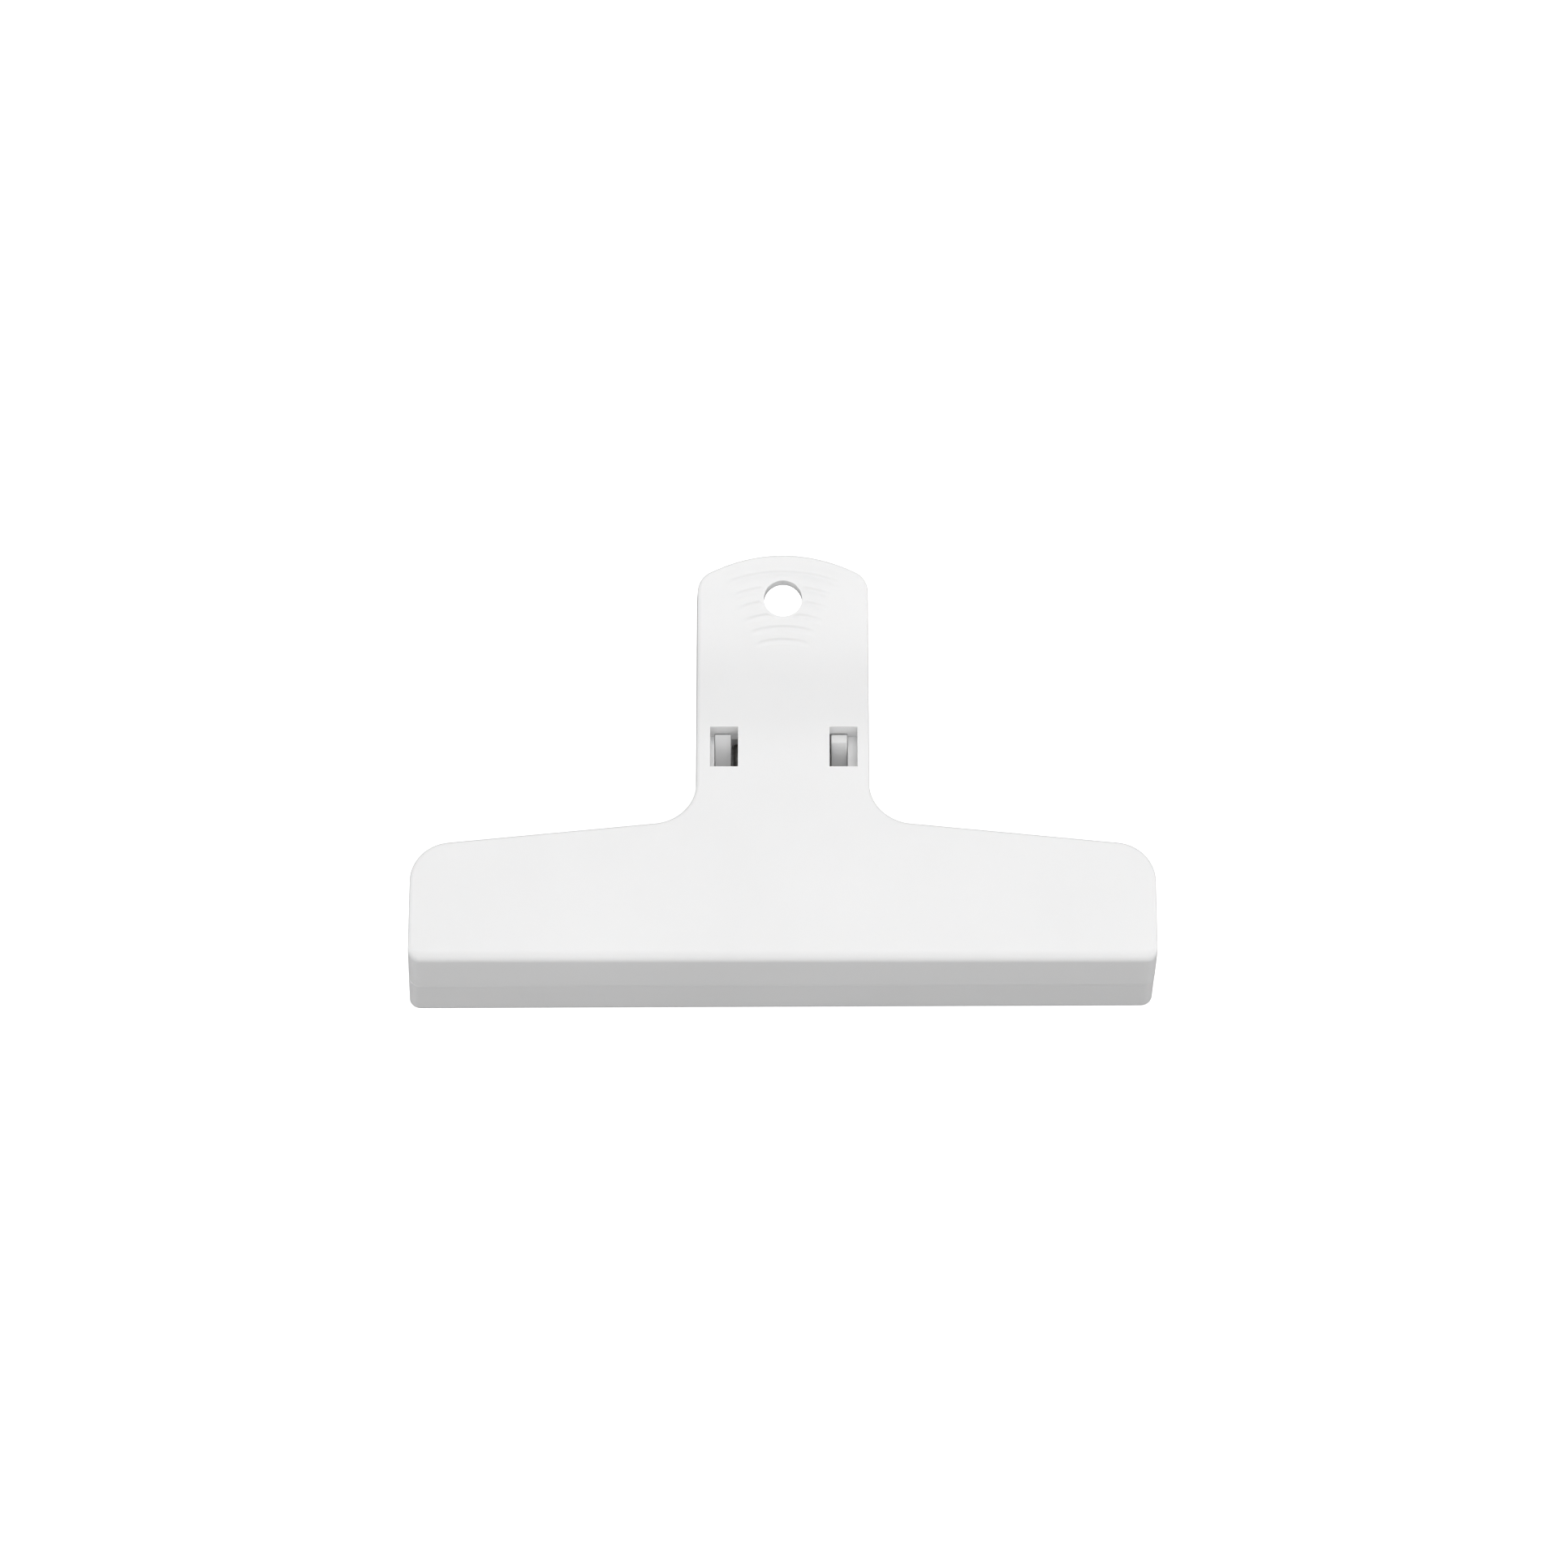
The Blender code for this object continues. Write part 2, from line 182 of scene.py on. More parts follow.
class HingeSettings(bpy.types.PropertyGroup):
    """Pin, lobes and ears."""
    v: length("Hinge place", "Distance of the hinge from the lip", 32.3 * MM)
    pin_radius: length("Pin radius", "Radius of the hinge pin", (PIN_BOX[1].z - PIN_BOX[0].z) / 2)
    pin_half: length("Pin half length", "Half the pin's length",
                     (PIN_BOX[1].x - PIN_BOX[0].x) / 2)
    pin_chamfer: length("Pin chamfer", "Chamfer at the pin's ends", 0.22 * MM)
    lobe_bore: length("Lobe bore", "Radius of the front half's bores", 1.04 * MM)
    ear_bore: length("Ear bore", "Radius of the rear half's bores", 1.12 * MM)
    lobe_radius: length("Lobe radius", "Rounding of the front half's lobes", 2.5 * MM)
    lobe_in: length("Lobe inside", "Inner side of the lobes", 9.2 * MM)
    lobe_out: length("Lobe outside", "Outer side of the lobes", 11.6 * MM)
    lobe_shift: length("Lobe shift", "How far the lobes stand off the front's middle", -0.25 * MM)
    lobe_root: length("Lobe root", "Half width of the lobes at the plate", 4.2 * MM)
    ear_back: length("Ear back", "Rounding of the ears' handle side", 8.0 * MM)
    ear_back_v: length("Ear back end", "Handle side of the ears' block", 2.85 * MM)
    ear_top: length("Ear top", "Height of the ears' block over the hinge axis", 8.2 * MM)
    ear_face_right: length("Right ear face", "Lip side of the right ear's block", 1.55 * MM)
    ear_face_left: length("Left ear face", "Lip side of the left ear's block", 2.75 * MM)
    ear_ramp_v: length("Ear ramp end", "Lip side of the ears' sloping front", -1.8 * MM)
    ear_ramp_w: length("Ear ramp height", "Height of the sloping front's foot", 3.9 * MM)
    ear_boss: length("Ear boss", "Radius of the ears' boss round the pin", 3.4 * MM)
    ear_in: length("Ear inside", "Inner side of the ears", 6.92 * MM)
    ear_out: length("Ear outside", "Outer side of the ears", 9.12 * MM)
    ear_root: length("Ear root", "Half width of the ears at the plate", 6.2 * MM)
    ear_shift: length("Ear shift", "How far the ears stand off the rear's middle", 0.05 * MM)
    ear_edge: length("Ear edge", "Rounding of the ears' and lobes' edges", 0.12 * MM)


class SpringSettings(bpy.types.PropertyGroup):
    """The torsion spring's wire."""
    wire: length("Wire radius", "Radius of the wire", 0.6 * MM)
    coil: length("Coil radius", "Radius of the coil's centre line", 2.6 * MM)
    pitch: length("Pitch", "Distance between the turns", 1.46 * MM)
    turns: IntProperty(name="Turns", description="Whole turns of the coil", default=8, min=1)
    leg_angle: angle("Leg angle", "Angle of each leg to the parting plane", radians(16.0))
    leg_end: length("Leg end", "Distance of the legs' feet from the lip", 45.5 * MM)
    foot: length("Foot", "Length of the bent end of each leg", 3.2 * MM)
    bend: length("Bend", "Radius of the bend between leg and foot", 1.3 * MM)


class FinishSettings(bpy.types.PropertyGroup):
    """Colours and gloss."""
    plastic: colour("Plastic", "Colour of the moulded halves", (0.80, 0.80, 0.80))
    plastic_rough: number("Plastic roughness", "Roughness of the moulded halves",
                          0.42, min=0.0, max=1.0)
    pin: colour("Pin", "Colour of the pin's zinc plate", (0.62, 0.62, 0.60))
    wire: colour("Wire", "Colour of the spring wire", (0.30, 0.29, 0.28))


class StageSettings(bpy.types.PropertyGroup):
    """Camera and studio."""
    aim: FloatVectorProperty(name="Aim", description="Point that the camera looks at",
                             default=(0.0003, -0.0008, 0.0121), subtype="TRANSLATION")
    distance: length("Distance", "From the camera to the point it looks at", 1.0)
    elevation: angle("Elevation", "Height of the camera over the horizon", radians(53.0))
    lens: number("Lens", "Focal length in millimetres", 165.8)
    key_lean: angle("Key lean", "Lean of the main light towards the camera", radians(-4.0))
    key_side: angle("Key side", "Lean of the main light to the right", radians(8.0))
    low_rise: angle("Low lamps' rise", "How high the front and side lamps stand", radians(12.0))
    lamp_distance: length("Lamp distance", "From the clip to each lamp", 1.2)
    key_power: number("Key power", "Main light in watts", 6.7)
    key_size: length("Key size", "Side of the main light", 1.1)
    fill: number("Fill", "Brightness of the fill from above", 0.4)
    front_power: number("Front power", "Power of the front lamp", 6.8)
    side_power: number("Side power", "Power of each side lamp", 7.0)
    fill_below: number("Fill below", "Brightness of the fill from below", 0.1)


GROUPS = {
    "clip_shell": ShellSettings,
    "clip_grip": GripSettings,
    "clip_hinge": HingeSettings,
    "clip_spring": SpringSettings,
    "clip_finish": FinishSettings,
    "clip_stage": StageSettings,
}

# How finely curves are cut
EDGE_STEPS = 7
CORNER_STEPS = 14
CROWN_STEPS = 28
ROUND_STEPS = 64
EAR_STEPS = 24
BOSS_STEPS = 32
PIN_SIDES = 48
COIL_STEP = radians(9)

# Columns and rows that the flat tray is cut into
END_MARGIN = 3 * MM
NECK_MARGIN = 2 * MM
JAW_COLUMN = 4 * MM
HANDLE_REACH = 10.9 * MM
HANDLE_COLUMN = 1.09 * MM
LIP_MARGIN = 2.6 * MM
JAW_ROW = 3.5 * MM
BEND_ROW = 0.6 * MM
GRIP_BELOW = 1.2 * MM
GRIP_ABOVE = 0.9 * MM
GRIP_BESIDE = 0.8 * MM
GRIP_GAP = 0.5 * MM
GRIP_ROW = 0.18 * MM
GRIP_COLUMN = 0.3 * MM
END_ROW = 0.4 * MM

# Ribs: margin round the hang hole, run of their rise from it, roundness of their tops
HOLE_MARGIN = 0.3 * MM
HOLE_RUN = 0.4 * MM
RIB_POWER = 1.5

# Distances that count as nothing, least upward facing, least plan radius
TINY = 1e-6
WELD = 1e-8
UPWARD = 0.99
LEAST_RADIUS = 0.2 * MM

# How far cutters and roots reach past the surfaces that they meet
GAP_RUN = 3 * MM
HOLE_CUT = 12 * MM
WINDOW_CUT = 8 * MM
BORE_REACH = 20 * MM
LOBE_SINK = 1.0 * MM
EAR_SINK = 1.1 * MM
LEG_SLACK = 0.15 * MM
FOOT_LEAN = 0.3 * MM

# Which edges of the outer face get softened
TOP_SLACK = 0.05 * MM
SIDE_MARGIN = 1.2 * MM
JAW_MARGIN = 1 * MM
CROWN_MARGIN = 4 * MM

# Angles from which an edge counts as sharp
CUT_SHARP = radians(50)
SHELL_SHARP = radians(34)
PIN_SHARP = radians(35)
WIRE_SHARP = radians(40)

# Ends of the ears' round back and boss
EAR_BACK_START = radians(-12)
EAR_BOSS_END = radians(190)

# Pin ends: lip of the chamfer, step inside it, depth and radius of the dimple
CHAMFER_LIP = 0.03 * MM
CHAMFER_STEP = 0.1 * MM
DIMPLE_DEPTH = 0.02 * MM
DIMPLE_RADIUS = 0.3 * MM

# Wire: rise and neck of its domed ends, where the coil is parted, the stub's run and girth
DOME_RISE = 0.2
DOME_NECK = 0.8
COIL_SPLIT = 0.96
STUB_RUN = 0.02
STUB_GIRTH = 0.75

# Materials' share of the noise, sky heights of the fill, floor, sensor
NOISE_LOW, NOISE_HIGH = 0.3, 0.7
SKY_LOW, SKY_HIGH = -0.5, 0.2
FLOOR_HALF = 3.0
FLOOR_DROP = 0.0002
SENSOR_WIDTH = 36.0


# ---- outline and section

def plan_corners(s):
    """Sharp corners of the T, anticlockwise, each with the radius and steps that round it."""
    rise = (s.half_width - s.handle_half) * tan(s.shoulder_angle)
    crown_v = s.length - s.crown_radius + s.crown_radius / cos(s.crown_slope)
    handle_v = crown_v - s.handle_half * tan(s.crown_slope)
    right = [
        (s.half_width, 0.0, s.lip_corner, CORNER_STEPS),
        (s.half_width, s.shoulder_v, s.shoulder_corner, CORNER_STEPS),
        (s.handle_half, s.shoulder_v + rise, s.neck_radius, CORNER_STEPS),
        (s.handle_half, handle_v, s.handle_corner, CORNER_STEPS),
    ]
    left = [(-x, v, r, n) for x, v, r, n in reversed(right)]
    return right + [(0.0, crown_v, s.crown_radius, CROWN_STEPS)] + left


def outline(s, inset):
    """Rounded T outline moved inwards; every inset gives the same number of points."""
    corners = plan_corners(s)
    points = []
    for i, (x, v, radius, steps) in enumerate(corners):
        here = Vector((x, v))
        d0 = (here - Vector(corners[i - 1][:2])).normalized()
        d1 = (Vector(corners[(i + 1) % len(corners)][:2]) - here).normalized()
        n0 = Vector((-d0.y, d0.x))
        n1 = Vector((-d1.y, d1.x))
        here = here + (n0 + n1) * (inset / (1.0 + n0.dot(n1)))
        side = 1.0 if d0.cross(d1) > 0 else -1.0
        radius = max(radius - side * inset, LEAST_RADIUS)
        turn = acos(max(-1.0, min(1.0, d0.dot(d1))))
        start = here - d0 * (radius * tan(turn / 2))
        centre = start + n0 * (side * radius)
        spoke = start - centre
        for k in range(steps + 1):
            a = side * turn * k / steps
            points.append((centre.x + spoke.x * cos(a) - spoke.y * sin(a),
                           centre.y + spoke.x * sin(a) + spoke.y * cos(a)))
    return points


def quarter(steps):
    """Sine and cosine pairs through a quarter turn."""
    return [(sin(pi / 2 * k / steps), cos(pi / 2 * k / steps)) for k in range(steps + 1)]


def section(s):
    """Inset and height of each ring: inside corner, down the wall and round its rim."""
    ceiling = s.depth - s.plate
    rings = [(s.wall + s.inner_radius * (1 - a), ceiling - s.inner_radius * (1 - b))
             for a, b in quarter(4)]
    rings += [(s.wall - s.rim_radius * (1 - b), s.parting + s.rim_radius * (1 - a))
              for a, b in quarter(3)]
    rings += [(s.rim_radius * (1 - a), s.parting + s.rim_radius * (1 - b))
              for a, b in quarter(3)]
    return rings


def edge_rings(s, side):
    """Points of the outer edge's rounding, which is fuller along the lip than elsewhere."""
    outside, inside = outline(s, 0.0), outline(s, MM)
    edge, lip_edge = (s.edge_radius, s.lip_radius) if side > 0 else (s.rear_edge, s.rear_lip)
    rings = []
    for a, b in quarter(EDGE_STEPS):
        ring = []
        for (x, v), (x_in, v_in) in zip(outside, inside):
            lip = max(0.0, min(1.0, 1.0 - v / s.lip_corner))
            radius = edge + (lip_edge - edge) * lip
            share = radius * (1 - b) / MM
            ring.append((x + (x_in - x) * share, v + (v_in - v) * share,
                         s.depth - radius * (1 - a)))
        rings.append(ring)
    return rings


def surface_rise(s, v):
    """How far the outer surface has climbed at v, by adding up its slopes."""
    jaw = tan(s.jaw_slope)
    slopes = ((0.0, jaw), (s.bend_start, jaw), (s.saddle_start, s.saddle_slope),
              (s.saddle_end, s.saddle_slope), (s.length, s.end_slope))
    rise = 0.0
    for (v0, s0), (v1, s1) in zip(slopes, slopes[1:]):
        if v <= v0:
            break
        reach = min(v, v1)
        slope = s0 + (s1 - s0) * (reach - v0) / (v1 - v0)
        rise += (reach - v0) * (s0 + slope) / 2
    return rise


def wall_share(s, v):
    """Share of the wall's depth at v: all of it along the jaw, less at the handle end."""
    run = (v - s.wall_taper_start) / (s.wall_taper_end - s.wall_taper_start)
    share = 1.0 + (s.wall_taper - 1.0) * max(0.0, min(1.0, run))
    behind = max(0.0, min(1.0, (v - bpy.context.scene.clip_hinge.v) / GAP_RUN))
    ceiling = s.depth - s.plate
    rim = ceiling - (ceiling - s.parting - s.handle_gap * behind) * share
    top = ceiling - s.inner_radius
    return (top - rim) / (top - s.parting)


# ---- shell mesh

def skin(bm, loops):
    """Faces between each ring of vertices and the next, and one over each end."""
    count = len(loops[0])
    for low, high in zip(loops, loops[1:]):
        for i in range(count):
            j = (i + 1) % count
            bm.faces.new((low[i], low[j], high[j], high[i]))
    bm.faces.new(loops[-1])
    bm.faces.new(list(reversed(loops[0])))


def cut_along(bm, axis, places, only=None):
    """Slice the mesh square to an axis at each place; only picks the faces to slice."""
    normal = Vector((1, 0, 0)) if axis == 0 else Vector((0, 1, 0))
    for place in places:
        faces = [f for f in bm.faces if only is None or only(f)]
        edges = {e for f in faces for e in f.edges}
        verts = {vert for f in faces for vert in f.verts}
        bmesh.ops.bisect_plane(bm, geom=list(verts) + list(edges) + faces, dist=WELD,
                               plane_co=normal * place, plane_no=normal)


def spread(start, end, step):
    """Evenly spaced places from start to end, about a step apart."""
    count = max(1, round((end - start) / step))
    return [start + (end - start) * k / count for k in range(count + 1)]


def flat_shell(s, grip, side):
    """The half as an unbent tray, cut finely enough to bend and to carry the grip ribs."""
    bm = bmesh.new()
    rings = [[(x, v, height) for x, v in outline(s, inset)] for inset, height in section(s)]
    loops = [[bm.verts.new(point) for point in ring] for ring in rings + edge_rings(s, side)]
    skin(bm, loops)
    bm.normal_update()
    wing, neck = s.half_width - END_MARGIN, s.handle_half + NECK_MARGIN
    cut_along(bm, 0, spread(-wing, -neck, JAW_COLUMN))
    cut_along(bm, 0, spread(-HANDLE_REACH, HANDLE_REACH, HANDLE_COLUMN))
    cut_along(bm, 0, spread(neck, wing, JAW_COLUMN))
    low = grip.first - grip.pitch * (grip.count - 1) - GRIP_BELOW
    high = grip.first + GRIP_ABOVE
    cut_along(bm, 1, spread(LIP_MARGIN, s.bend_start, JAW_ROW))
    cut_along(bm, 1, spread(s.bend_start + BEND_ROW, low - GRIP_GAP, BEND_ROW))
    cut_along(bm, 1, spread(low, high, GRIP_ROW))
    cut_along(bm, 1, spread(high + END_ROW, s.length - END_ROW, END_ROW))

    def in_grip(face):
        c = face.calc_center_median()
        return (face.normal.z > UPWARD and c.z > s.depth - TINY
                and abs(c.x) < grip.outer_half + GRIP_BESIDE and low < c.y < high)

    cut_along(bm, 0, spread(-grip.outer_half, grip.outer_half, GRIP_COLUMN), in_grip)
    return bm


def bend_shell(s, mesh, side):
    """Give the tray the run of the real surface, its shallow handle wall, a draft on the lip
    and the slight lean that brings the two rims together, and put its zero on the hinge."""
    ceiling = s.depth - s.plate
    hinge_v = bpy.context.scene.clip_hinge.v
    for vert in mesh.vertices:
        x, v, w = vert.co
        below = (s.depth - w) / s.depth
        near_lip = max(0.0, 1.0 - v / s.draft_reach)
        draft = s.depth * tan(s.lip_draft) - side * x * s.rear_skew / 2
        if w < ceiling - s.inner_radius:
            top = ceiling - s.inner_radius
            w = top - (top - w) * wall_share(s, v)
        vert.co.x = x - side * below * (FRONT_X - REAR_X) / 2
        vert.co.y = v - hinge_v - near_lip * below * draft
        vert.co.z = w + surface_rise(s, v)
    bm = bmesh.new()
    bm.from_mesh(mesh)
    bm.normal_update()
    bmesh.ops.triangulate(bm, faces=[f for f in bm.faces if len(f.verts) > 4])
    bm.to_mesh(mesh)
    bm.free()


def to_mesh(bm, name):
    """Turn the working mesh into a stored one and free it."""
    mesh = bpy.data.meshes.new(name)
    bm.to_mesh(mesh)
    bm.free()
    return mesh


def add_piece(name, data):
    """Put a mesh, a light or a camera into the scene as an object."""
    obj = bpy.data.objects.new(name, data)
    bpy.context.scene.collection.objects.link(obj)
    return obj


def bake_modifiers(obj):
    """Swap the object's mesh for its finished one and drop the modifiers."""
    bpy.context.view_layer.update()
    graph = bpy.context.evaluated_depsgraph_get()
    baked = bpy.data.meshes.new_from_object(obj.evaluated_get(graph))
    baked.name = obj.name
    obj.modifiers.clear()
    obj.data = baked
    return obj


# ---- grip ribs

class Sums:
    """Short hand for arithmetic nodes in a tree."""

    def __init__(self, tree):
        self.tree = tree

    def link(self, value, socket):
        """Join a socket to another, or set it to a number."""
        if isinstance(value, bpy.types.NodeSocket):
            self.tree.links.new(value, socket)
        else:
            socket.default_value = value

    def do(self, operation, *values):
        """The result of one maths node."""
        node = self.tree.nodes.new("ShaderNodeMath")
        node.operation = operation
        for value, socket in zip(values, node.inputs):
            self.link(value, socket)
        return node.outputs[0]

    def clamp(self, value):
        """Keep a value between 0 and 1."""
        return self.do("MINIMUM", self.do("MAXIMUM", value, 0.0), 1.0)

    def blend(self, factor, start, end):
        """From start to end by the factor."""
        return self.do("ADD", start, self.do("MULTIPLY", factor, self.do("SUBTRACT", end, start)))


GRIP_INPUTS = ("Ribs", "First", "Pitch", "Outer half", "Inner half", "Outer radius",
               "Inner radius", "Rib width", "Rib height", "Fade", "Top", "Hole place",
               "Hole clear")


def grip_tree():
    """Raises one crescent rib a turn of a repeat zone, clear of the hang hole."""
    tree = bpy.data.node_groups.new("grip_ribs", "GeometryNodeTree")
    face = tree.interface
    kinds = {"Geometry": "Geometry", **dict.fromkeys(GRIP_INPUTS, "Float"), "Ribs": "Int",
             "Material": "Material"}
    for name, kind in kinds.items():
        face.new_socket(name, in_out="INPUT", socket_type="NodeSocket" + kind)
    face.new_socket("Geometry", in_out="OUTPUT", socket_type="NodeSocketGeometry")
    add, wire, sums = tree.nodes.new, tree.links.new, Sums(tree)
    less, times, over = (partial(sums.do, kind) for kind in ("SUBTRACT", "MULTIPLY", "DIVIDE"))
    given = add("NodeGroupInput").outputs
    start, end = add("GeometryNodeRepeatInput"), add("GeometryNodeRepeatOutput")
    start.pair_with_output(end)
    wire(given["Geometry"], start.inputs["Geometry"])
    wire(given["Ribs"], start.inputs["Iterations"])
    turn = start.outputs["Iteration"]
    last = sums.do("MAXIMUM", less(given["Ribs"], 1.0), 1.0)
    share = over(turn, last)
    apex = less(given["First"], times(turn, given["Pitch"]))
    half = sums.blend(share, given["Outer half"], given["Inner half"])
    radius = sums.blend(share, given["Outer radius"], given["Inner radius"])
    place = add("ShaderNodeSeparateXYZ")
    wire(add("GeometryNodeInputPosition").outputs[0], place.inputs[0])
    x, v, w = place.outputs
    across = over(x, radius)
    level = sums.do("SQRT", less(1.0, times(across, across)))
    drop = times(radius, less(1.0, level))
    off = times(less(v, less(apex, drop)), level)
    side = over(off, times(given["Rib width"], 0.5))
    round_top = sums.do("MAXIMUM", less(1.0, times(side, side)), 0.0)
    taper = sums.clamp(over(less(half, sums.do("ABSOLUTE", x)), given["Fade"]))
    away = less(v, given["Hole place"])
    reach = sums.do("SQRT", sums.do("ADD", times(x, x), times(away, away)))
    clear = sums.clamp(over(less(reach, given["Hole clear"]), HOLE_RUN))
    lift = times(times(sums.do("POWER", round_top, RIB_POWER), taper),
                 times(clear, given["Rib height"]))
    up = add("ShaderNodeCombineXYZ")
    wire(lift, up.inputs["Z"])
    move = add("GeometryNodeSetPosition")
    wire(start.outputs["Geometry"], move.inputs["Geometry"])
    wire(sums.do("GREATER_THAN", w, less(given["Top"], TINY)), move.inputs["Selection"])
    wire(up.outputs[0], move.inputs["Offset"])
    wire(move.outputs[0], end.inputs["Geometry"])
    real, paint = add("GeometryNodeRealizeInstances"), add("GeometryNodeSetMaterial")
    wire(end.outputs["Geometry"], real.inputs[0])
    wire(real.outputs[0], paint.inputs["Geometry"])
    wire(given["Material"], paint.inputs["Material"])
    wire(paint.outputs[0], add("NodeGroupOutput").inputs[0])
    return tree


def raise_grip(obj, s, grip, mat):
    """Run the rib tree on the flat shell and keep the result as a plain mesh."""
    tree = bpy.data.node_groups.get("grip_ribs") or grip_tree()
    mod = obj.modifiers.new("grip", "NODES")
    mod.node_group = tree
    values = dict(zip(GRIP_INPUTS, (
        grip.count, grip.first, grip.pitch, grip.outer_half, grip.inner_half, grip.outer_radius,
        grip.inner_radius, grip.width, grip.height, grip.fade, s.depth, s.hole_v,
        s.hole_radius + HOLE_MARGIN)))
    values["Material"] = mat
    for item in tree.interface.items_tree:
        if item.in_out == "INPUT" and item.name in values:
            mod[item.identifier] = values[item.name]
    return bake_modifiers(obj)


# ---- cutting and joining

def prism(name, profile, x0, x1, edge=0.0):
    """Solid with the given (v, w) outline from the hinge axis, between x0 and x1."""
    bm = bmesh.new()
    face = bm.faces.new([bm.verts.new((x0, v, w)) for v, w in profile])
    grown = bmesh.ops.extrude_face_region(bm, geom=[face])
    moved = [e for e in grown["geom"] if isinstance(e, bmesh.types.BMVert)]
    bmesh.ops.translate(bm, vec=(x1 - x0, 0, 0), verts=moved)
    bmesh.ops.recalc_face_normals(bm, faces=bm.faces)
    if edge:
        sharp = [e for e in bm.edges if e.calc_face_angle(0.0) > CUT_SHARP]
        bmesh.ops.bevel(bm, geom=sharp, offset=edge, segments=3, profile=0.5, affect="EDGES",
                        clamp_overlap=True)
    return to_mesh(bm, name)


def arc(radius, start, end, steps=ROUND_STEPS):
    """Points on an arc round the hinge axis."""
    angles = [start + (end - start) * k / steps for k in range(steps + 1)]
    return [(radius * cos(a), radius * sin(a)) for a in angles]


def combine(obj, mesh, operation):
    """Cut a mesh out of the object or join it on, and keep the result."""
    helper = add_piece("helper", mesh)
    mod = obj.modifiers.new("shape", "BOOLEAN")
    mod.operation = operation
    mod.solver = "EXACT"
    mod.object = helper
    bake_modifiers(obj)
    bpy.data.objects.remove(helper, do_unlink=True)


def slab(v0, v1, low, high, side):
    """Rectangle from v0 to v1 and from low to high, mirrored for the rear half."""
    return [(v0, side * low), (v1, side * low), (v1, side * high), (v0, side * high)]


def both_sides(x0, x1, shift=0.0):
    """The stretch from x0 to x1 and its mirror image, each low to high."""
    return [(shift + x0, shift + x1), (shift - x1, shift - x0)]


def hole_cutter(s, side):
    """Turned cutter for the hang hole, square to the flared handle."""
    step = 0.5 * MM
    rise = surface_rise(s, s.hole_v + step) - surface_rise(s, s.hole_v - step)
    lean = Matrix.Rotation(side * atan2(rise, 2 * step), 4, "X")
    middle = (0, s.hole_v - bpy.context.scene.clip_hinge.v,
              side * (s.depth + surface_rise(s, s.hole_v)))
    bm = bmesh.new()
    bmesh.ops.create_cone(bm, cap_ends=True, segments=ROUND_STEPS, radius1=s.hole_radius,
                          radius2=s.hole_radius, depth=HOLE_CUT,
                          matrix=Matrix.Translation(middle) @ lean)
    return to_mesh(bm, "hole")


def soften_edges(obj, s, side):
    """Round the sharp edges that the windows and the hang hole leave in the outer face."""
    hinge_v = bpy.context.scene.clip_hinge.v
    bm = bmesh.new()
    bm.from_mesh(obj.data)
    chosen = []
    for edge in bm.edges:
        if len(edge.link_faces) != 2 or edge.calc_face_angle(0.0) < CUT_SHARP:
            continue
        a, b = (vert.co for vert in edge.verts)
        v = (a.y + b.y) / 2 + hinge_v
        height = min(side * p.z - s.depth - surface_rise(s, p.y + hinge_v) for p in (a, b))
        inside = abs(a.x + b.x) / 2 < s.handle_half - SIDE_MARGIN
        near = s.window_low - JAW_MARGIN < v < s.hole_v + CROWN_MARGIN
        if height > -TOP_SLACK and inside and near:
            chosen.append(edge)
    bmesh.ops.bevel(bm, geom=chosen, offset=s.window_edge, segments=2, profile=0.6,
                    affect="EDGES", clamp_overlap=True)
    bm.to_mesh(obj.data)
    bm.free()


def cut_windows(obj, s, side):
    """Cut both hinge windows through the plate, down to their ledge."""
    hinge_v = bpy.context.scene.clip_hinge.v
    v0, v1 = s.window_low - hinge_v, s.window_high - hinge_v
    floor = s.depth + surface_rise(s, s.window_low) - s.window_floor
    profile = slab(v0, v1, floor, s.depth + WINDOW_CUT, side)
    for x0, x1 in both_sides(s.window_in, s.window_out, s.window_shift):
        combine(obj, prism("window", profile, x0, x1), "DIFFERENCE")


def ear_profile(s, hinge, face_v):
    """Rear half's ear: wide root, round back, tall block with its front at face_v, boss."""
    root = -(s.depth + EAR_SINK)
    back_end = acos(hinge.ear_back_v / hinge.ear_back)
    back = arc(hinge.ear_back, EAR_BACK_START, back_end, EAR_STEPS)
    block = [(hinge.ear_back_v, hinge.ear_top), (face_v, hinge.ear_top)]
    ramp = Vector((hinge.ear_ramp_v, hinge.ear_ramp_w))
    boss = arc(hinge.ear_boss, atan2(ramp.y, ramp.x), EAR_BOSS_END, BOSS_STEPS)
    foot = [(-hinge.ear_root, root), (hinge.ear_root, root)]
    return foot + back + block + [tuple(ramp)] + boss


def cross_stay(obj, s, side):
    """Rib across the handle's hollow, with a hole for the spring's leg."""
    hinge, spring = bpy.context.scene.clip_hinge, bpy.context.scene.clip_spring
    v0 = s.stay_v - hinge.v
    v1 = v0 + s.stay_thick
    top = s.depth + surface_rise(s, s.stay_v) - s.plate / 2
    half = s.handle_half - s.wall / 2
    combine(obj, prism("stay", slab(v0, v1, s.stay_low, top, side), -half, half), "UNION")
    end = coil_point(spring, coil_turn(spring), 1.0)
    along = Vector((0, cos(spring.leg_angle), side * sin(spring.leg_angle)))
    start = Vector((side * end.x, end.y, side * end.z))
    leg = [start + along * (reach - start.y) / along.y for reach in (v0 - MM, v1 + MM)]
    combine(obj, tube("leg_hole", leg, spring.wire + LEG_SLACK), "DIFFERENCE")


